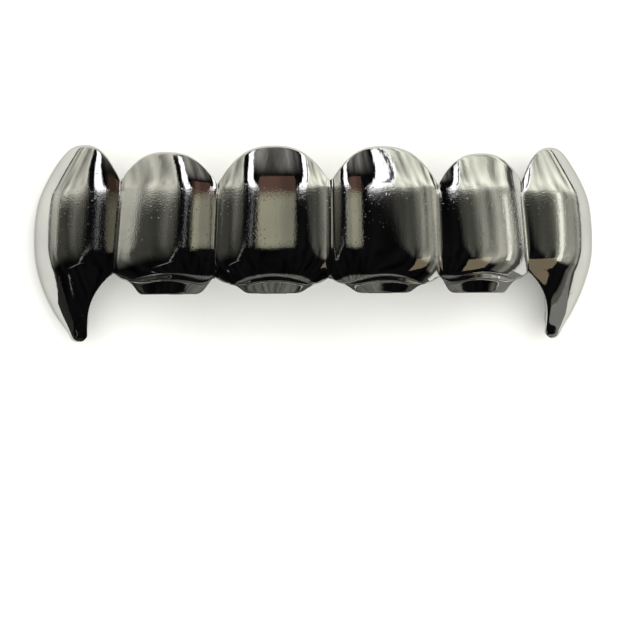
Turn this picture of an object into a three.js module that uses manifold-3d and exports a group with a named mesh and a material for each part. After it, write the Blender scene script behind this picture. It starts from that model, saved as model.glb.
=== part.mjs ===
import * as THREE from 'three';
import { ParametricGeometry } from 'three/addons/geometries/ParametricGeometry.js';
import { mergeGeometries, mergeVertices } from 'three/addons/utils/BufferGeometryUtils.js';
import Module from 'manifold-3d';

// Driving dimensions in millimetres. The grill lies on its back: +X along the row of teeth, +Y towards the
// gum, +Z out of the front faces. Depths are measured backwards from the groove between the two centrals.
const wallThickness = 0.75;
const rimDepth = 10.9;
const creaseHeight = 4.17;
const bendHeight = -0.4;
const archFlare = 0.037;

// The straight wall is faintly crowned from top to bottom.
const wallCrown = 0.015;

// The gum end of every cap leans back above the crease.
const leanSlope = 0.445;
const leanBlend = 1.5;
const gumSquareness = 2.6;

// The biting end curves back below the bend.
const bendDepth = 0.72;
const bendSpan = 2.6;
const bendPower = 2.2;

// The biting edge between two embrasures, and the arch that the folded lip cuts into it.
const edgeDrop = 0.72;
const edgeSquareness = 8;
const lipArch = 0.6;

// The lip folded back behind each incisor.
const lipHeight = -4.28;
const lipDepth = 1.1;

// Grooves between the caps of one half, from the middle outwards.
const grooves = {
  middle: { across: 0, depth: 0, notch: 4.55, embrasure: -2.96 },
  incisor: { across: 8.93, depth: 1.05, notch: 4.5, embrasure: -2.83 },
  fang: { across: 16.6, depth: 4.2, notch: 5, embrasure: -2.43 },
};

// The incisor caps of one half. Crest and lip middle are shares of the cap's width, where its front swells
// most and where its lip is centred. The lip's root and end are shares of the cap's half width. Twist is the
// share by which the gum end leans back more at its inner side and less at its outer side.
const incisors = [
  {
    inner: grooves.middle, outer: grooves.incisor,
    bulge: 1.17, squareness: 2.8, crest: 0.5, gumTop: 7.57, twist: 0,
    lipMiddle: 0.48, lipRoot: 0.68, lipEnd: 0.48,
  },
  {
    inner: grooves.incisor, outer: grooves.fang,
    bulge: 0.97, squareness: 2, crest: 0.45, gumTop: 7.24, twist: 0.4,
    lipMiddle: 0.42, lipRoot: 0.82, lipEnd: 0.62,
  },
];
const lateral = incisors[1];

// The fang: its gum line, the straight rim at its back, its point and the sweep from cap to point.
const fangGum = {
  top: 8.12, peak: 0.47, innerPower: 2.35, outerPower: 2.6, rimLean: 1.3, rimBlend: 4.5, turn: 0.45,
};
const fangRim = { across: 23.93, bow: 0.045, bowCentre: 0.2 };
const fangRimEnds = { gum: 2.8, crease: 2, bend: -0.2, point: -2.6 };
const fangTip = { inner: 19.45, outer: 21, innerDepth: 7.9, outerDepth: 9.1, shoulder: -7.45, end: -8.12 };
const fangSweep = { edge: 2.8, face: 0.21, outer: 2.5, outerDepth: 2.65, rows: 1.8 };
// The powers of a fang's section, from a gently rounded front to a steep side, how far the face reaches
// across before it no longer follows the free inner edge, and the power that keeps a row level on the face.
const fangSection = { across: 1.6, depth: 3.2, face: 0.5, level: 3 };
const tipWall = 0.3;
const tipTaper = 1.5;

// The rims run past the resting plane and are cut off flat on it.
const rimOverrun = 0.4;
const cutSize = 80;

// Facets: rows down a cap by zone, columns across it.
const rows = { gum: 4, wall: 2, bend: 5, lip: 5, point: 9 };
const incisorZones = ['gum', 'wall', 'bend', 'lip'];
const fangZones = ['gum', 'wall', 'bend', 'point'];
const incisorColumns = 16;
const fangColumns = 14;
const weldTolerance = 1e-4;

const { lerp, clamp, smoothstep } = THREE.MathUtils;
const wasm = await Module();
wasm.setup();

const rowCount = (zones) => zones.reduce((sum, zone) => sum + rows[zone], 0);
const wallMiddle = (creaseHeight + bendHeight) / 2;
const crownBack = (height) => wallCrown * Math.pow(height - wallMiddle, 2);
const leanBack = (rise, blend = leanBlend) => {
  const crown = crownBack(creaseHeight + rise) - crownBack(creaseHeight);
  return leanSlope * rise * rise / (rise + blend) + crown;
};
const curveBack = (drop) => bendDepth * Math.pow(drop / bendSpan, bendPower);

// The zone that a row lies in, and how far down that zone it is.
function zoneAt(row, zones) {
  let left = row;
  for (const zone of zones) {
    if (left <= rows[zone]) return { zone, down: left / rows[zone] };
    left -= rows[zone];
  }
  return { zone: zones.at(-1), down: 1 };
}

// A point on the outside of an incisor cap: part runs from the inner groove to the outer one.
function incisorPoint(cap, part, row) {
  const { inner, outer } = cap;
  const side = Math.abs(2 * part - 1);
  const meanNotch = (inner.notch + outer.notch) / 2;
  const gumRise = (cap.gumTop - meanNotch) * (1 - Math.pow(side, gumSquareness));
  const gumLine = lerp(inner.notch, outer.notch, part) + gumRise;
  const embrasure = lerp(inner.embrasure, outer.embrasure, part);
  const lipSide = Math.abs(2 * (part - cap.lipMiddle));
  const lipRise = lipArch * Math.max(0, 1 - Math.pow(lipSide / cap.lipRoot, 2));
  const edge = embrasure - edgeDrop * (1 - Math.pow(side, edgeSquareness)) + lipRise;
  const lipShare = clamp((cap.lipRoot - lipSide) / (cap.lipRoot - cap.lipEnd), 0, 1);

  const { zone, down } = zoneAt(row, incisorZones);
  let height = lerp(creaseHeight, bendHeight, down);
  let back = crownBack(height);
  if (zone === 'gum') {
    height = lerp(gumLine, creaseHeight, down);
    const lean = leanBack(height - creaseHeight) * (1 - cap.twist * (2 * part - 1));
    back = crownBack(creaseHeight) + lean;
  } else if (zone === 'bend') {
    height = lerp(bendHeight, edge, down);
    back = crownBack(height) + curveBack(bendHeight - height);
  } else if (zone === 'lip') {
    height = lerp(edge, lipHeight, lipShare * down);
    back = crownBack(edge) + curveBack(bendHeight - edge) + lipDepth * lipShare * down;
  }

  const offCrest = part < cap.crest ? 1 - part / cap.crest : (part - cap.crest) / (1 - cap.crest);
  const swell = cap.bulge * (1 - Math.pow(offCrest, cap.squareness));
  const flare = 1 + archFlare * Math.max(0, (creaseHeight - height) / (creaseHeight - embrasure));
  const across = lerp(inner.across, outer.across, part) * flare;
  const depth = lerp(inner.depth, outer.depth, part) - swell + back;
  return new THREE.Vector3(across, height, rimDepth - depth);
}

// How far out the rim of a fang lies at a height. It bows in towards both ends.
const rimAcross = (height) => fangRim.across - fangRim.bow * Math.pow(height - fangRim.bowCentre, 2);

// The fang's gum line: from the notch up to the peak, then down in a long curve to the rim.
function fangGumLine(part) {
  const { top, peak, innerPower, outerPower } = fangGum;
  if (part < peak) return top - (top - grooves.fang.notch) * Math.pow(1 - part / peak, innerPower);
  return top - (top - fangRimEnds.gum) * Math.pow((part - peak) / (1 - peak), outerPower);
}

// Moves the two ends of a fang row from the cap down to the tip: to its shoulder first, then round its end.
// The free inner edge turns sharply at the embrasure, and the face beside it sweeps more slowly.
function sweepToTip(inner, outer, down, part) {
  const shoulder = (inner.y - fangTip.shoulder) / (inner.y - fangTip.end);
  const along = Math.min(1, down / shoulder);
  const closing = Math.max(0, (down - shoulder) / (1 - shoulder));
  const edgeShare = Math.pow(1 - along, fangSweep.edge);
  const faceShare = 1 - along * lerp(fangSweep.face, 1, along);
  const innerShare = lerp(edgeShare, faceShare, smoothstep(part, 0, fangSection.face));
  inner.x = lerp(fangTip.inner, inner.x, innerShare);
  inner.y = lerp(inner.y, fangTip.shoulder, along);
  inner.z = lerp(inner.z, rimDepth - fangTip.innerDepth, along);
  outer.y = lerp(outer.y, fangTip.shoulder, along);
  const tuck = rimAcross(fangTip.shoulder) - fangTip.outer;
  outer.x = rimAcross(outer.y) - tuck * Math.pow(along, fangSweep.outer);
  outer.z = lerp(outer.z, rimDepth - fangTip.outerDepth, Math.pow(along, fangSweep.outerDepth));
  const middle = inner.clone().lerp(outer, 0.5);
  const shrink = 1 - Math.sqrt(1 - closing * closing);
  for (const end of [inner, outer]) {
    end.lerp(middle, shrink);
    end.y = lerp(end.y, fangTip.end, closing);
  }
}

// A point on the outside of a fang: every row is a rounded quarter section from its inner side to its rim.
function fangPoint(part, row) {
  const { zone, down } = zoneAt(row, fangZones);
  const capRows = rows.gum + rows.wall + rows.bend;
  const inner = incisorPoint(lateral, 1, zone === 'gum' ? rows.gum : Math.min(row, capRows));
  const outer = new THREE.Vector3(0, fangRimEnds.crease, -rimOverrun);
  if (zone === 'wall') outer.y = lerp(fangRimEnds.crease, fangRimEnds.bend, down);
  if (zone === 'bend') outer.y = lerp(fangRimEnds.bend, fangRimEnds.point, down);
  if (zone === 'point') outer.y = fangRimEnds.point;
  outer.x = rimAcross(outer.y);
  if (zone === 'point') sweepToTip(inner, outer, 1 - Math.pow(1 - down, fangSweep.rows), part);
  const angle = part * Math.PI / 2;
  const across = Math.pow(Math.sin(angle), 2 / fangSection.across);
  const point = new THREE.Vector3(
    lerp(inner.x, outer.x, across),
    lerp(inner.y, outer.y, Math.pow(part, fangSection.level)),
    lerp(outer.z, inner.z, Math.pow(Math.max(0, Math.cos(angle)), 2 / fangSection.depth)),
  );
  if (zone === 'gum') {
    const rise = (fangGumLine(Math.asin(across) * 2 / Math.PI) - point.y) * (1 - down);
    const blend = lerp(leanBlend, fangGum.rimBlend, part);
    const back = leanBack(rise, blend) * lerp(1, fangGum.rimLean, part);
    const turn = Math.pow(part, fangGum.turn) * Math.PI / 2;
    point.x -= back * Math.sin(turn);
    point.y += rise;
    point.z -= back * Math.cos(turn);
  }
  return point;
}

// A geometry with nothing but its points and faces, so that equal points can be welded.
function bare(geometry) {
  geometry.deleteAttribute('normal');
  geometry.deleteAttribute('uv');
  return geometry;
}

function toSolid(points, faces) {
  return new wasm.Manifold(new wasm.Mesh({
    numProp: 3, vertProperties: points, triVerts: new Uint32Array(faces),
  }));
}

// One cap as a sheet, on the right side or mirrored to the left.
function capSheet(pointAt, mirrored, columns, zones) {
  const count = rowCount(zones);
  const surface = (across, up, target) => {
    target.copy(pointAt(mirrored ? 1 - across : across, (1 - up) * count));
    if (mirrored) target.x = -target.x;
  };
  return bare(new ParametricGeometry(surface, columns, count));
}

// A closed shell from a sheet: a copy set in along the normals, joined to it round every free edge.
function thicken(sheet, wallAt) {
  const { position, normal } = sheet.attributes;
  const count = position.count;
  const points = new Float32Array(position.array.length * 2);
  const point = new THREE.Vector3();
  const inward = new THREE.Vector3();
  for (let i = 0; i < count; i++) {
    point.fromBufferAttribute(position, i).toArray(points, i * 3);
    inward.fromBufferAttribute(normal, i);
    point.addScaledVector(inward, -wallAt(point.y)).toArray(points, (count + i) * 3);
  }
  const faces = [];
  const edges = new Map();
  for (let i = 0; i < sheet.index.count; i += 3) {
    const corners = [0, 1, 2].map((k) => sheet.index.getX(i + k));
    if (new Set(corners).size < 3) continue;
    const [a, b, c] = corners;
    faces.push(a, b, c, count + c, count + b, count + a);
    for (const [from, to] of [[a, b], [b, c], [c, a]]) edges.set(`${from} ${to}`, [from, to]);
  }
  for (const [from, to] of edges.values()) {
    if (edges.has(`${to} ${from}`)) continue;
    faces.push(to, from, count + from, to, count + from, count + to);
  }
  return toSolid(points, faces);
}

function toGeometry(solid) {
  const mesh = solid.getMesh();
  const geometry = new THREE.BufferGeometry();
  geometry.setAttribute('position', new THREE.BufferAttribute(mesh.vertProperties, mesh.numProp));
  geometry.setIndex(new THREE.BufferAttribute(mesh.triVerts, 1));
  geometry.computeVertexNormals();
  return geometry;
}

const caps = [];
for (const mirrored of [false, true]) {
  for (const cap of incisors) {
    caps.push(capSheet((part, row) => incisorPoint(cap, part, row), mirrored, incisorColumns, incisorZones));
  }
  caps.push(capSheet(fangPoint, mirrored, fangColumns, fangZones));
}
const sheet = mergeVertices(mergeGeometries(caps), weldTolerance);
sheet.computeVertexNormals();

const wallAt = (height) => {
  return lerp(tipWall, wallThickness, smoothstep(height, fangTip.end, fangTip.end + tipTaper));
};
const block = bare(new THREE.BoxGeometry(cutSize, cutSize, cutSize).translate(0, 0, -cutSize / 2));
const below = mergeVertices(block, weldTolerance);
const shell = thicken(sheet, wallAt).subtract(toSolid(below.attributes.position.array, below.index.array));

const plating = new THREE.MeshStandardMaterial({ color: 0x4c4d4a, metalness: 1, roughness: 0.12 });
const grill = new THREE.Mesh(toGeometry(shell), plating);
grill.name = 'grill_shell';

const part = new THREE.Group();
part.name = 'vampire_fang_grillz';
part.add(grill);

export default part;
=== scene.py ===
# %% [markdown]
# # A vampire fang grill in black nickel
# A grill is a row of hollow metal caps that slips over the front teeth. This one has six caps, and the two
# at the ends grow into fangs. The lesson loads the packed model, which fixes the place and the size, and
# then builds the polished shell that is seen, its finish, and a small studio to photograph it in.

# %% Load the packed model
import math

import bmesh
import bpy
from mathutils import Matrix, Vector


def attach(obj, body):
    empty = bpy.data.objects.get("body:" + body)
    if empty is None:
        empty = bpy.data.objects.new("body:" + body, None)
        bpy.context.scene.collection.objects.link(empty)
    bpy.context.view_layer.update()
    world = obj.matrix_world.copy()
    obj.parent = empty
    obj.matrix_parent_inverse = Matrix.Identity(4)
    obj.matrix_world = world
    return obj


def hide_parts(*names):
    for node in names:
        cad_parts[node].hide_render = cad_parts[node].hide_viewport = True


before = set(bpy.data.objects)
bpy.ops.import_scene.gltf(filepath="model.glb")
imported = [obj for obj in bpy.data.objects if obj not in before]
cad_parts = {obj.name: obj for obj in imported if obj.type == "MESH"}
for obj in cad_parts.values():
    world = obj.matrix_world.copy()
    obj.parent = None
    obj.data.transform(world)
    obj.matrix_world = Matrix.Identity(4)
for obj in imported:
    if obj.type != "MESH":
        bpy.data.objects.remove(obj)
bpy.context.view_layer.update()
MM = 0.001


print("nodes", sorted(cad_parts))

# %% [markdown]
# ## The camera
# The grill lies on its back and the camera looks down on it, a little from the left and about 13 cm away.
# A camera's own axes are right, up and back, so they go into its matrix as columns. The small roll makes
# the row rise slightly towards the right of the picture. The focal length is given in pixels of a picture
# 640 pixels wide, and Blender wants it in millimetres on its 36 mm sensor.

# %% Aim the camera
camera_yaw = math.radians(6.5)
camera_roll = math.radians(0.385)
camera_distance = 133
camera_target = Vector((-0.894, -6.398, 10.798))

level_right = Vector((math.cos(camera_yaw), 0, math.sin(camera_yaw)))
camera_back = Vector((-math.sin(camera_yaw), 0, math.cos(camera_yaw)))
level_up = Vector((0, 1, 0))
camera_right = level_right * math.cos(camera_roll) - level_up * math.sin(camera_roll)
camera_up = level_up * math.cos(camera_roll) + level_right * math.sin(camera_roll)
camera_eye = (camera_target + camera_back * camera_distance) * MM
print("camera at", [round(value, 4) for value in camera_eye])

# %% Place the camera
SENSOR_MM = 36
PICTURE_PX = 640
focal_px = 1670
nearest_seen = 10


def add_object(name, data):
    made = bpy.data.objects.new(name, data)
    bpy.context.scene.collection.objects.link(made)
    return made


camera = add_object("camera", bpy.data.cameras.new("camera"))
camera.data.sensor_width = SENSOR_MM
camera.data.lens = focal_px / PICTURE_PX * SENSOR_MM
camera.data.clip_start = nearest_seen * MM
turned = Matrix((camera_right, camera_up, camera_back)).transposed().to_4x4()
camera.matrix_world = Matrix.Translation(camera_eye) @ turned
bpy.context.scene.camera = camera
print("lens", round(camera.data.lens, 1), "mm")

# %% [markdown]
# ## The shape of a cap, from the gum to the biting edge
# A cap could be sculpted, but its form follows a few plain rules, so a flat grid that is moved by those
# rules gives cleaner highlights. Every cap has the same zones from top to bottom. The gum end leans back
# above a crease, the wall is nearly straight, the bend curves back to the biting edge, and behind the edge
# of an incisor a lip is folded over. Three little functions say how far back a point lies: crown_back gives
# the faint crown of the whole cap, lean_back the gum end and curve_back the bend. All lengths are in
# millimetres until the sheet is whole.

# %% Lean and bend
rows = {"gum": 9, "wall": 5, "bend": 9, "lip": 12, "point": 22}
crease_height = 4.17
bend_height = -0.4
rim_depth = 10.9
lean_blend = 1.5


def lerp(start, end, share):
    return start + (end - start) * share


def crown_back(height):
    crown = 0.015
    return crown * (height - (crease_height + bend_height) / 2) ** 2


def lean_back(rise, blend=lean_blend):
    slope = 0.445
    crowned = crown_back(crease_height + rise) - crown_back(crease_height)
    return slope * rise * rise / (rise + blend) + crowned


def curve_back(drop):
    depth = 0.72
    span = 2.6
    power = 2.2
    return depth * (max(0, drop) / span) ** power


gum_rise = 3.4
print("a gum end", gum_rise, "mm high leans back", round(lean_back(gum_rise), 2), "mm at its top")

# %% [markdown]
# Each row of the grid lies in one of the zones. The function below finds which, and how far down in it, from
# 0 at the zone's top to 1 at its bottom. A row where two zones meet belongs to the upper one.

# %% Find the zone of a row
front_zones = ("gum", "wall", "bend")
incisor_zones = (*front_zones, "lip")
fang_zones = (*front_zones, "point")
row_slack = 1e-6


def zone_at(row, zones):
    left = row
    for zone in zones:
        if left <= rows[zone] + row_slack:
            return zone, min(1, left / rows[zone])
        left -= rows[zone]
    return zones[-1], 1


def row_count(zones):
    return sum(rows[zone] for zone in zones)


edge_row = row_count(front_zones)
print(row_count(incisor_zones), "rows on an incisor and", row_count(fang_zones), "on a fang")

# %% [markdown]
# ## The four incisor caps
# Neighbouring caps meet in a groove. Each groove is given by where it is across the row, how deep it lies,
# and the height of the notch at the gum and of the embrasure at the biting edge. A cap swells forward
# between its two grooves by its bulge, most of all at its crest. The twist makes the gum end of a lateral
# lean back more at its inner side. The lip has a profile of its own: a small roll at the biting edge, a
# shelf, a second roll, and the folded face. Its corners are cut off at a slant: lip_root and lip_end are its
# half widths at the biting edge and at its free end, as shares of half a cap.

# %% Grooves, caps and lip
grooves = {
    "middle": {"across": 0, "depth": 0, "notch": 4.55, "embrasure": -2.96},
    "incisor": {"across": 8.93, "depth": 1.05, "notch": 4.5, "embrasure": -2.83},
    "fang": {"across": 16.6, "depth": 4.2, "notch": 5, "embrasure": -2.43},
}
central = {
    "inner": grooves["middle"], "outer": grooves["incisor"],
    "bulge": 1.17, "squareness": 2.8, "crest": 0.5, "gum_top": 7.57, "twist": 0,
    "lip_middle": 0.48, "lip_root": 0.68, "lip_end": 0.48,
}
lateral = {
    "inner": grooves["incisor"], "outer": grooves["fang"],
    "bulge": 0.97, "squareness": 2, "crest": 0.45, "gum_top": 7.24, "twist": 0.4,
    "lip_middle": 0.42, "lip_root": 0.82, "lip_end": 0.62,
}
lip_height = -4.28
lip_depth = 1.1
lip_profile = [
    {"row": 0, "drop": 0, "back": 0},
    {"row": 2, "drop": 0.04, "back": 0.14},
    {"row": 5, "drop": 0.286, "back": 0.2},
    {"row": 7, "drop": 0.336, "back": 0.36},
    {"row": 12, "drop": 1, "back": 1},
]
print("central cap", central["outer"]["across"], "mm wide, lip ends at", lip_height)


# %% Read the lip profile
def lip_at(down):
    row = down * rows["lip"]
    for start, end in zip(lip_profile, lip_profile[1:]):
        if row <= end["row"]:
            share = (row - start["row"]) / (end["row"] - start["row"])
            return lerp(start["drop"], end["drop"], share), lerp(start["back"], end["back"], share)
    return 1, 1


print("half way down the lip", [round(value, 3) for value in lip_at(0.5)])

# %% The height and depth of a row on an incisor
gum_squareness = 2.6
edge_drop = 0.72
edge_squareness = 8
edge_arch = 0.8


def incisor_row(cap, part, row):
    inner, outer = cap["inner"], cap["outer"]
    side = abs(2 * part - 1)
    notch = lerp(inner["notch"], outer["notch"], part)
    mean_notch = (inner["notch"] + outer["notch"]) / 2
    gum_line = notch + (cap["gum_top"] - mean_notch) * (1 - side ** gum_squareness)
    embrasure = lerp(inner["embrasure"], outer["embrasure"], part)
    lip_side = abs(2 * (part - cap["lip_middle"]))
    arch = edge_arch * max(0, 1 - (lip_side / cap["lip_root"]) ** 2)
    edge = embrasure - edge_drop * (1 - side ** edge_squareness) + arch
    zone, down = zone_at(row, incisor_zones)
    if zone == "gum":
        height = lerp(gum_line, crease_height, down)
        lean = lean_back(height - crease_height) * (1 - cap["twist"] * (2 * part - 1))
        return height, crown_back(crease_height) + lean
    if zone == "wall":
        height = lerp(crease_height, bend_height, down)
        return height, crown_back(height)
    if zone == "bend":
        height = lerp(bend_height, edge, down)
        return height, crown_back(height) + curve_back(bend_height - height)
    lip_share = (cap["lip_root"] - lip_side) / (cap["lip_root"] - cap["lip_end"])
    lip_share = min(1, max(0, lip_share))
    drop, back = lip_at(down)
    height = edge - (edge - lip_height) * drop * lip_share
    edge_back = crown_back(edge) + curve_back(bend_height - edge)
    return height, edge_back + lip_depth * back * lip_share


print("biting edge of a central", round(incisor_row(central, central["crest"], edge_row)[0], 2), "mm")

# %% A point on an incisor
arch_flare = 0.037


def incisor_point(cap, part, row):
    inner, outer = cap["inner"], cap["outer"]
    height, back = incisor_row(cap, part, row)
    crest = cap["crest"]
    off_crest = 1 - part / crest if part < crest else (part - crest) / (1 - crest)
    swell = cap["bulge"] * (1 - off_crest ** cap["squareness"])
    depth = lerp(inner["depth"], outer["depth"], part) - swell + back
    embrasure = lerp(inner["embrasure"], outer["embrasure"], part)
    flare = 1 + arch_flare * max(0, (crease_height - height) / (crease_height - embrasure))
    return Vector((lerp(inner["across"], outer["across"], part) * flare, height, rim_depth - depth))


crease_middle = incisor_point(central, central["crest"], rows["gum"])
print("middle of a central's crease", [round(value, 2) for value in crease_middle])

# %% [markdown]
# ## The two fangs
# A fang shares its inner groove with the lateral incisor beside it. From there every row runs in a rounded
# quarter section to the rim that lies on the table, gently at the front and steeply at the side. Below the
# bend the two ends of a row draw together, first to the shoulder of the tip and then round it, so the point
# stays blunt enough to wear. The tables fang_sweep and fang_section say how full these curves are.

# %% The fang's measures and its gum line
fang_gum = {
    "top": 8.12, "peak": 0.47, "inner_power": 2.35, "outer_power": 2.6,
    "rim_lean": 1.3, "rim_blend": 4.5, "turn": 0.45,
}
fang_rim = {"across": 23.93, "bow": 0.045, "bow_centre": 0.2}
fang_rim_ends = {"gum": 2.8, "crease": 2, "bend": -0.2, "point": -2.6}
fang_tip = {
    "inner": 19.45, "outer": 21, "inner_depth": 7.9, "outer_depth": 9.1,
    "shoulder": -7.45, "end": -8.12,
}
fang_sweep = {"edge": 2.8, "face": 0.21, "outer": 2.5, "outer_depth": 2.65, "rows": 1.8}
fang_section = {"across": 1.6, "depth": 3.2, "face": 0.5, "level": 3}


def rim_across(height):
    return fang_rim["across"] - fang_rim["bow"] * (height - fang_rim["bow_centre"]) ** 2


def fang_gum_line(part):
    top, peak = fang_gum["top"], fang_gum["peak"]
    if part < peak:
        return top - (top - grooves["fang"]["notch"]) * (1 - part / peak) ** fang_gum["inner_power"]
    return top - (top - fang_rim_ends["gum"]) * ((part - peak) / (1 - peak)) ** fang_gum["outer_power"]


print("fang from", fang_tip["end"], "to", fang_gum["top"], "mm")


# %% Draw the ends of a row together towards the tip
def smoothstep(share):
    share = min(1, max(0, share))
    return share * share * (3 - 2 * share)


def sweep_to_tip(inner, outer, down, part):
    shoulder = (inner.y - fang_tip["shoulder"]) / (inner.y - fang_tip["end"])
    along = min(1, down / shoulder)
    closing = max(0, (down - shoulder) / (1 - shoulder))
    edge_share = (1 - along) ** fang_sweep["edge"]
    face_share = 1 - along * lerp(fang_sweep["face"], 1, along)
    inner_share = lerp(edge_share, face_share, smoothstep(part / fang_section["face"]))
    inner.x = lerp(fang_tip["inner"], inner.x, inner_share)
    inner.y = lerp(inner.y, fang_tip["shoulder"], along)
    inner_end = rim_depth - fang_tip["inner_depth"]
    inner.z = lerp(inner.z, inner_end, along)
    outer.y = lerp(outer.y, fang_tip["shoulder"], along)
    tuck = rim_across(fang_tip["shoulder"]) - fang_tip["outer"]
    outer.x = rim_across(outer.y) - tuck * along ** fang_sweep["outer"]
    outer_end = rim_depth - fang_tip["outer_depth"]
    outer.z = lerp(outer.z, outer_end, along ** fang_sweep["outer_depth"])
    middle = (inner + outer) / 2
    shrink = 1 - math.sqrt(max(0, 1 - closing * closing))
    for end in (inner, outer):
        end.xyz = end.lerp(middle, shrink)
        end.y = lerp(end.y, fang_tip["end"], closing)


print("tip", round(fang_tip["outer"] - fang_tip["inner"], 2), "mm across at its shoulder")


# %% A point on a fang
def fang_point(part, row):
    zone, down = zone_at(row, fang_zones)
    inner = incisor_point(lateral, 1, rows["gum"] if zone == "gum" else min(row, edge_row))
    outer = Vector((0, fang_rim_ends["crease"], 0))
    if zone == "wall":
        outer.y = lerp(fang_rim_ends["crease"], fang_rim_ends["bend"], down)
    if zone == "bend":
        outer.y = lerp(fang_rim_ends["bend"], fang_rim_ends["point"], down)
    if zone == "point":
        outer.y = fang_rim_ends["point"]
    outer.x = rim_across(outer.y)
    if zone == "point":
        sweep_to_tip(inner, outer, 1 - (1 - down) ** fang_sweep["rows"], part)
    angle = part * math.pi / 2
    across = math.sin(angle) ** (2 / fang_section["across"])
    forward = max(0, math.cos(angle)) ** (2 / fang_section["depth"])
    point = Vector((
        lerp(inner.x, outer.x, across),
        lerp(inner.y, outer.y, part ** fang_section["level"]),
        lerp(outer.z, inner.z, forward),
    ))
    if zone == "gum":
        rise = (fang_gum_line(math.asin(across) * 2 / math.pi) - point.y) * (1 - down)
        back = lean_back(rise, lerp(lean_blend, fang_gum["rim_blend"], part))
        back *= lerp(1, fang_gum["rim_lean"], part)
        turn = part ** fang_gum["turn"] * math.pi / 2
        point += Vector((-back * math.sin(turn), rise, -back * math.cos(turn)))
    return point


print("tip of the fang", [round(value, 2) for value in fang_point(0.5, row_count(fang_zones))])

# %% [markdown]
# ## From grids to one sheet
# bmesh's create_grid makes a flat grid of squares. Reading a vertex's own place on that grid as a share
# across and a share down, and moving it to the point those shares give, turns the grid into a cap. The
# three caps of the right half are made in one bmesh, and mirror makes the left half. Points that fall
# together are merged, which also joins the caps along their grooves and closes the tips. A mirror can turn
# faces over, so the normals are recalculated while the sheet is still open.

# %% Make the sheet
columns = 22
grid_half = 0.5
weld = 1e-4
sheet = bmesh.new()
right_caps = [
    (incisor_zones, lambda part, row: incisor_point(central, part, row)),
    (incisor_zones, lambda part, row: incisor_point(lateral, part, row)),
    (fang_zones, fang_point),
]
for zones, point_at in right_caps:
    count = row_count(zones)
    made = bmesh.ops.create_grid(sheet, x_segments=columns, y_segments=count, size=grid_half)
    for vert in made["verts"]:
        vert.co = point_at(vert.co.x + grid_half, (grid_half - vert.co.y) * count)
bmesh.ops.remove_doubles(sheet, verts=sheet.verts, dist=weld)
half = sheet.verts[:] + sheet.edges[:] + sheet.faces[:]
bmesh.ops.mirror(sheet, geom=half, axis="X", merge_dist=weld)
bmesh.ops.remove_doubles(sheet, verts=sheet.verts, dist=weld)
bmesh.ops.dissolve_degenerate(sheet, edges=sheet.edges, dist=weld)
bmesh.ops.recalc_face_normals(sheet, faces=sheet.faces)
front = max(sheet.faces, key=lambda face: face.calc_center_median().z)
if front.normal.z < 0:
    bmesh.ops.reverse_faces(sheet, faces=sheet.faces)
print(len(sheet.verts), "points and", len(sheet.faces), "faces, front facing", round(front.normal.z, 2))

# %% [markdown]
# A fang turns at the shoulder of its tip, and a mirror shows such a turn as a hard line. So the points
# inside the two tips are smoothed a few times. The points on the free edges stay where they are, and so
# the outline does too.

# %% Soften the tips
soften_below = -6.4
soften_rounds = 10
soften_factor = 0.5
every_axis = {"use_axis_x": True, "use_axis_y": True, "use_axis_z": True}
tip_points = [vert for vert in sheet.verts if vert.co.y < soften_below and not vert.is_boundary]
for _ in range(soften_rounds):
    bmesh.ops.smooth_vert(sheet, verts=tip_points, factor=soften_factor, **every_axis)
print("softened", len(tip_points), "points")

# %% [markdown]
# ## From the sheet to the shell
# The Solidify modifier gives the sheet its wall, inwards from the outside. A vertex group thins the wall
# towards the tips, where the full wall wouldn't fit. Subdivision Surface then smooths everything and rounds
# the rims, as tumbling and plating round the edges of the real casting. Solidify also hands the inner wall
# the second material, because only the outside is polished.

# %% Make the shell object
wall = 0.75
tip_wall = 0.3
tip_taper = 1.5
for face in sheet.faces:
    face.smooth = True
bmesh.ops.scale(sheet, vec=(MM, MM, MM), verts=sheet.verts)
shell_mesh = bpy.data.meshes.new("polished_shell")
sheet.to_mesh(shell_mesh)
sheet.free()
shell = add_object("polished_shell", shell_mesh)
full_wall = shell.vertex_groups.new(name="full_wall")
for index, height in enumerate(vert.co.y / MM for vert in shell_mesh.vertices):
    full_wall.add([index], smoothstep((height - fang_tip["end"]) / tip_taper), "REPLACE")
print("shell object with", len(shell_mesh.polygons), "faces before its modifiers")

# %% Give the shell its wall and its round edges
rim_crease = 0.6
smooth_levels = 1
solidify = shell.modifiers.new("wall", "SOLIDIFY")
solidify.thickness = wall * MM
solidify.offset = -1
solidify.use_even_offset = False
solidify.vertex_group = full_wall.name
solidify.thickness_vertex_group = tip_wall / wall
solidify.material_offset = 1
solidify.edge_crease_outer = rim_crease
solidify.edge_crease_inner = rim_crease
smooth = shell.modifiers.new("round_edges", "SUBSURF")
smooth.levels = smooth_levels
smooth.render_levels = smooth_levels
print("wall", wall, "mm, thinning to", tip_wall, "mm at the tips")

# %% [markdown]
# ## Shader maths as plain expressions
# A node tree is easier to read as a formula. The small class below wraps one socket. Adding or multiplying
# two of them adds a Math node, its method node adds any other kind of node, and feed links the result to a
# shader.


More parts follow.
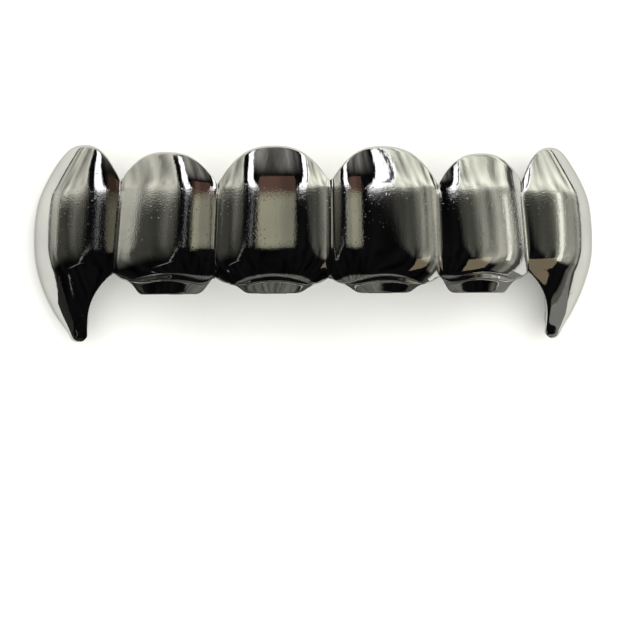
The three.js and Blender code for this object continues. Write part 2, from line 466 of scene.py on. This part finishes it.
# %% A socket that can be calculated with
class Signal:
    def __init__(self, tree, socket):
        self.tree = tree
        self.socket = socket

    def node(self, kind, settings, inputs, output=0):
        made = self.tree.nodes.new(kind)
        for name, value in settings.items():
            setattr(made, name, value)
        for name, value in inputs.items():
            if isinstance(value, Signal):
                self.tree.links.new(value.socket, made.inputs[name])
            else:
                made.inputs[name].default_value = value
        return Signal(self.tree, made.outputs[output])

    def feed(self, socket):
        self.tree.links.new(self.socket, socket)

    def math(self, operation, first, second):
        return self.node("ShaderNodeMath", {"operation": operation}, {0: first, 1: second})

    def __add__(self, other):
        return self.math("ADD", self, other)

    def __sub__(self, other):
        return self.math("SUBTRACT", self, other)

    def __rsub__(self, other):
        return self.math("SUBTRACT", other, self)

    def __mul__(self, other):
        return self.math("MULTIPLY", self, other)

    __radd__ = __add__
    __rmul__ = __mul__


print("signals can", sorted(name for name in vars(Signal) if not name.startswith("_")))


# %% Materials, and the nodes that they share
def new_material(name):
    material = bpy.data.materials.new(name)
    material.use_nodes = True
    shader = next(node for node in material.node_tree.nodes if node.type == "BSDF_PRINCIPLED")
    return material, shader


def object_place(material):
    tree = material.node_tree
    return Signal(tree, tree.nodes.new("ShaderNodeTexCoord").outputs["Object"])


def fade(value, start, end):
    limits = {"Value": value, "From Min": start, "From Max": end}
    return value.node("ShaderNodeMapRange", {"interpolation_type": "SMOOTHSTEP"}, limits)


def noise(place, scale, detail, roughness=0.5):
    look = {"Vector": place, "Scale": scale, "Detail": detail, "Roughness": roughness}
    return place.node("ShaderNodeTexNoise", {}, look)


# A colour Mix node takes its share in socket 0 and its colours in 6 and 7, and its result is output 2.
def mix(share, first, second):
    return share.node("ShaderNodeMix", {"data_type": "RGBA"}, {0: share, 6: first, 7: second}, 2)


print("fade, noise and mix add one node each")

# %% [markdown]
# ## The finish
# Black nickel is a mirror that gives back about half of the light, so nearly all that is seen on it is the
# room. What makes it a real casting is its relief: a fine grain with specks on the straight wall of each
# cap, where the polishing wheel reaches least, long polishing lines down the caps, sparse pits and a faint
# waviness. All of it is far too small to model, so it goes into one height that a Bump node turns into
# normals. The grain fades in above the biting edge and out at the crease.

# %% Where the grain is
grain_limits = {"none_below": -1.8, "full_from": 0, "full_to": 3.9, "none_above": 4.9}
nickel, nickel_shader = new_material("black_nickel")
place = object_place(nickel)
height_mm = place.node("ShaderNodeSeparateXYZ", {}, {0: place}, "Y") * (1 / MM)
fading_in = fade(height_mm, grain_limits["none_below"], grain_limits["full_from"])
fading_out = fade(height_mm, grain_limits["none_above"], grain_limits["full_to"])
grain_zone = fading_in * fading_out
print("grain from", grain_limits["none_below"], "to", grain_limits["none_above"], "mm")

# %% [markdown]
# Each kind of relief is a pattern between 0 and 1. A noise of scale 8000 has a grain of about an eighth of
# a millimetre, because the scale counts features in a metre. Pits and specks lie at the middles of Voronoi
# cells, and each speck gets a height of its own from its cell's colour.

# %% The patterns in the metal
line_stretch = (1, 0.05, 1)
pit_scale, pit_edge, pit_floor = 850, 0.09, 0.03
speck_scale, speck_edge = 3600, 0.3


def cells(scale, output):
    return place.node("ShaderNodeTexVoronoi", {}, {"Vector": place, "Scale": scale}, output)


grain = noise(place, scale=8000, detail=2, roughness=0.55)
stretched = place.node("ShaderNodeVectorMath", {"operation": "MULTIPLY"}, {0: place, 1: line_stretch})
lines = noise(stretched, scale=2600, detail=2)
waves = noise(place, scale=420, detail=1)
pits = fade(cells(pit_scale, "Distance"), pit_edge, pit_floor)
speck_height = place.node("ShaderNodeSeparateColor", {}, {0: cells(speck_scale, "Color")}, "Red")
specks = speck_height * fade(cells(speck_scale, "Distance"), speck_edge, 0)
print("grain, lines, waves, pits and specks")

# %% The relief of the casting
relief_mm = {"grain": 0.005, "specks": 0.006, "lines": 0.003, "waves": 0.007, "pits": 0.004}
metres = {name: height * MM for name, height in relief_mm.items()}
polished_grain = 0.12
grain_share = grain_zone * (1 - polished_grain) + polished_grain
cast = (grain * metres["grain"] + specks * metres["specks"]) * grain_share
relief = cast + lines * metres["lines"] + waves * metres["waves"] - pits * metres["pits"]
bump = place.node("ShaderNodeBump", {}, {"Strength": 1, "Distance": 1, "Height": relief})
bump.feed(nickel_shader.inputs["Normal"])
print("relief up to", max(relief_mm.values()), "mm high")

# %% [markdown]
# The plating is almost perfectly smooth, and the grain and the waviness dull it a little. Its tone drifts
# with the waves. Metals turn white at grazing angles, and the specular tint keeps black nickel grey there.

# %% Black nickel
polish, grain_dulling, wave_dulling = 0.02, 0.06, 0.015
dark_tone = (0.43, 0.43, 0.42, 1)
light_tone = (0.55, 0.55, 0.525, 1)
grazing_tone = (0.6, 0.6, 0.58, 1)
rough = polish + grain_zone * grain * grain_dulling + waves * wave_dulling
rough.feed(nickel_shader.inputs["Roughness"])
mix(waves, dark_tone, light_tone).feed(nickel_shader.inputs["Base Color"])
nickel_shader.inputs["Metallic"].default_value = 1
nickel_shader.inputs["Specular Tint"].default_value = grazing_tone
print("black nickel with", len(nickel.node_tree.nodes), "nodes")

# %% [markdown]
# The inside of a grill isn't polished, so it keeps the dull skin of the casting. One noise gives both its
# relief and its roughness. The two materials go into the shell's slots, the polished one first, because
# Solidify gives the inner wall the slot after it.

# %% The cast inside
skin_relief_mm = 0.04
skin_polish, skin_dulling = 0.3, 0.25
cast_grey = (0.36, 0.36, 0.35, 1)
inside, inside_shader = new_material("cast_inside")
skin = noise(object_place(inside), scale=2600, detail=4, roughness=0.65)
skin_bump = {"Strength": 1, "Distance": skin_relief_mm * MM, "Height": skin}
skin.node("ShaderNodeBump", {}, skin_bump).feed(inside_shader.inputs["Normal"])
inside_rough = skin_polish + skin * skin_dulling
inside_rough.feed(inside_shader.inputs["Roughness"])
inside_shader.inputs["Base Color"].default_value = cast_grey
inside_shader.inputs["Metallic"].default_value = 1
shell_mesh.materials.append(nickel)
shell_mesh.materials.append(inside)
print("cast inside with", len(inside.node_tree.nodes), "nodes")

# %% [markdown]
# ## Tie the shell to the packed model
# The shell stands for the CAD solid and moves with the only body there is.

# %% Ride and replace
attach(shell, "root")
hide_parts("grill_shell")
print("the shell rides on root")

# %% [markdown]
# ## The table
# The grill lies on a plain pale sheet of paper, lit brightly enough to come out white.

# %% Make the floor
floor_half = 1.5
floor_squares = 4
paper_white = (0.86, 0.86, 0.83, 1)
paper_gloss = 0.1
matt = 0.9
floor_mesh = bpy.data.meshes.new("floor")
grid = bmesh.new()
bmesh.ops.create_grid(grid, x_segments=floor_squares, y_segments=floor_squares, size=floor_half)
grid.to_mesh(floor_mesh)
grid.free()
floor = add_object("floor", floor_mesh)
paper, paper_shader = new_material("pale_paper")
paper_shader.inputs["Base Color"].default_value = paper_white
paper_shader.inputs["Roughness"].default_value = matt
paper_shader.inputs["Specular IOR Level"].default_value = paper_gloss
floor_mesh.materials.append(paper)
print("floor", floor.dimensions.x, "m wide")

# %% [markdown]
# ## The studio
# A mirror shows its surroundings, so the light is drawn as a room. The world is a dome of soft panels, and
# a panel's place is a direction: how far it lies to the side and how far towards the gum end, both in
# degrees from straight up, given to its two edges. Soft is half the width of its blurred edges, first to the
# side and then towards the gum. Lean slants a panel: it moves to the side by so many degrees for each degree
# towards the gum, and its side edges hold at the lean centre, 20 degrees towards the gum.

# %% Directions on the dome
world = bpy.data.worlds.new("studio")
world.use_nodes = True
bpy.context.scene.world = world
room_tree = world.node_tree
direction = Signal(room_tree, room_tree.nodes.new("ShaderNodeTexCoord").outputs["Generated"])
east, north, up = [direction.node("ShaderNodeSeparateXYZ", {}, {0: direction}, axis) for axis in "XYZ"]
side_angle = direction.math("ARCTAN2", east, up) * math.degrees(1)
gum_angle = direction.math("ARCSINE", north, 0) * math.degrees(1)
print("dome with", len(room_tree.nodes), "nodes")

# %% The walls of the room
walls = [
    {"name": "left wall", "side": (-120, -66), "gum": (-19, 80), "soft": (4, 10), "lean": 0.2,
     "glow": (0.52, 0.51, 0.45)},
    {"name": "left corner", "side": (-66, -33), "gum": (-17, 14), "soft": (3, 11), "lean": 0.25,
     "glow": (0.085, 0.085, 0.072)},
    {"name": "left post", "side": (-52, -38), "gum": (0, 16), "soft": (4, 5), "lean": 0.15,
     "glow": (0.16, 0.157, 0.134)},
    {"name": "left curtain", "side": (-84, -38), "gum": (13, 95), "soft": (5, 3.5), "lean": 0,
     "glow": (0.8, 0.79, 0.7)},
    {"name": "far ceiling", "side": (-32, 16), "gum": (53, 95), "soft": (8, 9), "lean": 0,
     "glow": (0.32, 0.31, 0.295)},
    {"name": "right corner", "side": (16, 95), "gum": (-24, 14), "soft": (5, 6), "lean": -0.6,
     "glow": (0.095, 0.095, 0.082)},
    {"name": "right wall", "side": (44, 95), "gum": (-24, 14), "soft": (8, 6), "lean": -0.2,
     "glow": (0.26, 0.257, 0.222)},
    {"name": "right far wall", "side": (58, 95), "gum": (-24, 14), "soft": (4, 6), "lean": 0,
     "glow": (0.5, 0.495, 0.43)},
    {"name": "right curtain", "side": (20, 95), "gum": (14.5, 95), "soft": (3, 4.5), "lean": 0.3,
     "glow": (1.25, 1.26, 1.1)},
    {"name": "right low wall", "side": (75, 95), "gum": (-38, -22), "soft": (2, 3), "lean": 0,
     "glow": (0.27, 0.265, 0.23)},
    {"name": "front sill", "side": (-80, 80), "gum": (-95, -68), "soft": (10, 2), "lean": 0,
     "glow": (0.2, 0.2, 0.185)},
]
print(len(walls), "walls")

# %% [markdown]
# Bright windows beside black strips give polished metal its hard stripes, and narrow slits give it thin
# bright lines. They are drawn over the walls. The dark skirtings run along the floor at both sides.

# %% The windows, strips and slits
openings = [
    {"name": "wooden beam", "side": (-19, -7), "gum": (12, 44), "soft": (2.5, 4), "lean": 0,
     "glow": (0.07, 0.04, 0.03)},
    {"name": "ceiling", "side": (-18, -6), "gum": (-13, 12), "soft": (2.5, 3), "lean": 0,
     "glow": (0.17, 0.16, 0.117)},
    {"name": "left flag", "side": (-36, -23), "gum": (-16, 62), "soft": (1.2, 4), "lean": -0.28,
     "glow": (0.006, 0.006, 0.008)},
    {"name": "left window", "side": (-29, -21), "gum": (15, 64), "soft": (1, 4), "lean": -0.25,
     "glow": (2.5, 2.5, 2.6)},
    {"name": "left slit", "side": (-25.6, -24.4), "gum": (-6, 15), "soft": (0.6, 3), "lean": 0,
     "glow": (0.5, 0.5, 0.5)},
    {"name": "right window", "side": (12, 24), "gum": (13.5, 64), "soft": (1, 4), "lean": 0.4,
     "glow": (2.5, 2.5, 2.6)},
    {"name": "window bar", "side": (19.5, 22), "gum": (26, 70), "soft": (0.8, 4), "lean": 0.42,
     "glow": (0.12, 0.11, 0.13)},
    {"name": "low slit", "side": (-21.6, -20.4), "gum": (-31, -3), "soft": (0.6, 2), "lean": 0.46,
     "glow": (0.4, 0.4, 0.38)},
    {"name": "low ledge", "side": (130.5, 134), "gum": (-35.5, -31), "soft": (1.8, 1), "lean": 3.43,
     "glow": (0.35, 0.35, 0.33)},
    {"name": "point slit", "side": (-66.4, -65.2), "gum": (-47, -42.4), "soft": (0.5, 0.5), "lean": 0,
     "glow": (0.35, 0.35, 0.33)},
    {"name": "left skirting", "side": (-92, -87), "gum": (-50, 60), "soft": (1.2, 6), "lean": 0,
     "glow": (0.08, 0.08, 0.07)},
    {"name": "right skirting", "side": (86, 92), "gum": (-50, 60), "soft": (1.2, 6), "lean": 0,
     "glow": (0.1, 0.1, 0.09)},
]
print(len(openings), "openings")

# %% [markdown]
# A panel is a mask: a band across the side angles times a band across the gum angles. The mask mixes the
# panel's glow over whatever was drawn before it, so later panels cover earlier ones.

# %% Draw panels on the dome
lean_centre = 20
unlit = (0.006, 0.006, 0.007, 1)


def band(angle, edges, soft):
    low, high = edges
    return fade(angle, low - soft, low + soft) * fade(angle, high + soft, high - soft)


def draw(room, panels):
    for panel in panels:
        side_soft, gum_soft = panel["soft"]
        slanted = side_angle - (gum_angle - lean_centre) * panel["lean"]
        mask = band(slanted, panel["side"], side_soft) * band(gum_angle, panel["gum"], gum_soft)
        room = mix(mask, room, (*panel["glow"], 1))
    return room


room = draw(unlit, walls)
print("dome with", len(room_tree.nodes), "nodes")

# %% [markdown]
# A real wall isn't even, so long streaks run up the walls before the windows are drawn over them. The
# camera itself sees a plain pale backdrop instead of the room.

# %% Streaks, windows and backdrop
streak_scale = {"side": 0.1, "gum": 0.025}
streak_contrast, streak_dimming = 3.4, 0.7
backdrop = (0.9, 0.9, 0.88, 1)
streak_angles = {0: side_angle * streak_scale["side"], 1: gum_angle * streak_scale["gum"]}
streak_place = direction.node("ShaderNodeCombineXYZ", {}, streak_angles)
streaks = noise(streak_place, scale=1, detail=1.5) * streak_contrast - streak_dimming
room = room.node("ShaderNodeVectorMath", {"operation": "SCALE"}, {0: room, "Scale": streaks})
room = draw(room, openings)
is_camera = direction.node("ShaderNodeLightPath", {}, {}, "Is Camera Ray")
mix(is_camera, room, backdrop).feed(room_tree.nodes["Background"].inputs["Color"])
print("dome with", len(room_tree.nodes), "nodes")

# %% [markdown]
# Some cards hang close to the grill, so each cap shows them in a slightly different place. Beige ones hang
# straight over it and a brown one beyond. A cloth and a pale card hang low at the right, and a narrow strip
# stands beside the right fang and draws the thin white line down the two right caps. The cards are lamps
# that the camera doesn't see, and places and sizes are in millimetres. A card's power is pi times its area,
# which makes its glow the brightness that a mirror shows.

# %% Hang the cards
cards = [
    {"name": "beige_card", "x": (-26, 2.5), "y": (-7, 15), "height": 71, "tilt": 0,
     "glow": (0.36, 0.35, 0.27)},
    {"name": "beige_card_front", "x": (-26, 2.5), "y": (-12, -7), "height": 71, "tilt": 0,
     "glow": (0.2, 0.195, 0.15)},
    {"name": "brown_card", "x": (-26, 4), "y": (15, 62), "height": 71, "tilt": 0,
     "glow": (0.115, 0.066, 0.05)},
    {"name": "cloth_card", "x": (21, 43), "y": (-26, -11), "height": 22, "tilt": 0,
     "glow": (0.3, 0.245, 0.16)},
    {"name": "side_card", "x": (29, 42), "y": (-7, 8), "height": 14, "tilt": 0,
     "glow": (0.22, 0.215, 0.19)},
    {"name": "edge_strip", "x": (25.3, 26.3), "y": (-5, 6), "height": 9.8, "tilt": 50,
     "glow": (1.1, 1.1, 1.0)},
]


def hang(name, shape, width, depth, spot, tilt, power, colour):
    lamp = bpy.data.lights.new(name, "AREA")
    lamp.shape = shape
    lamp.size = width
    lamp.size_y = depth
    lamp.energy = power
    lamp.color = colour
    hung = add_object(name, lamp)
    hung.location = spot
    hung.rotation_euler = (0, math.radians(tilt), 0)
    hung.visible_camera = False
    return hung


for card in cards:
    (west, far_east), (south, far_north) = card["x"], card["y"]
    width, depth = (far_east - west) * MM, (far_north - south) * MM
    spot = Vector(((west + far_east) / 2, (south + far_north) / 2, card["height"])) * MM
    power = math.pi * width * depth
    hang(card["name"], "RECTANGLE", width, depth, spot, card["tilt"], power, card["glow"])
print(len(cards), "cards")

# %% [markdown]
# The corners of the biting edges would mirror the white floor and vanish against it. As is usual for
# pictures of jewellery, low dark cards are stood in front of them: a row of three, black at the left and
# grey at the right, and a taller one for the two centrals. Only the mirrors see them.

# %% Stand the dark cards
dark_cards = [
    {"name": "left_dark_card", "x": (-37, -20), "height": 6.8, "front": -14, "shade": 0.008},
    {"name": "wide_dark_card", "x": (-20, 23), "height": 6.8, "front": -14, "shade": 0.08},
    {"name": "right_dark_card", "x": (23, 37), "height": 6.8, "front": -14, "shade": 0.24},
    {"name": "tall_dark_card", "x": (-18, 18), "height": 9.4, "front": -13.5, "shade": 0.08},
]
upright = Matrix.Rotation(math.radians(90), 4, "X")
for card in dark_cards:
    west, far_east = card["x"]
    shade = card["shade"]
    middle = Vector(((west + far_east) / 2, card["front"], card["height"] / 2))
    scaled = Matrix.Diagonal((far_east - west, card["height"], 1, 1))
    stood = Matrix.Scale(MM, 4) @ Matrix.Translation(middle) @ upright @ scaled
    board_mesh = bpy.data.meshes.new(card["name"])
    grid = bmesh.new()
    bmesh.ops.create_grid(grid, x_segments=1, y_segments=1, size=grid_half, matrix=stood)
    grid.to_mesh(board_mesh)
    grid.free()
    stand = add_object(card["name"], board_mesh)
    stand.visible_camera = False
    stand.visible_diffuse = False
    stand.visible_shadow = False
    board, board_shader = new_material(card["name"])
    board_shader.inputs["Base Color"].default_value = (shade, shade, shade, 1)
    board_shader.inputs["Roughness"].default_value = matt
    board_mesh.materials.append(board)
print(len(dark_cards), "dark cards")

# %% [markdown]
# ## Light on the table
# One broad lamp, 1 m wide and half a metre up, makes the paper white. The metal doesn't mirror it. The
# Standard view shows colours as they are, where Blender's default would grey the white.

# %% Light the floor
above_table = (0, 0.05, 0.5)
white = (1, 1, 1)
floor_light = hang(
    "floor_light", shape="DISK", width=1, depth=1, spot=above_table, tilt=0, power=6, colour=white
)
floor_light.visible_glossy = False
bpy.context.scene.view_settings.view_transform = "Standard"
print("floor light", floor_light.data.energy, "W")

# %% [markdown]
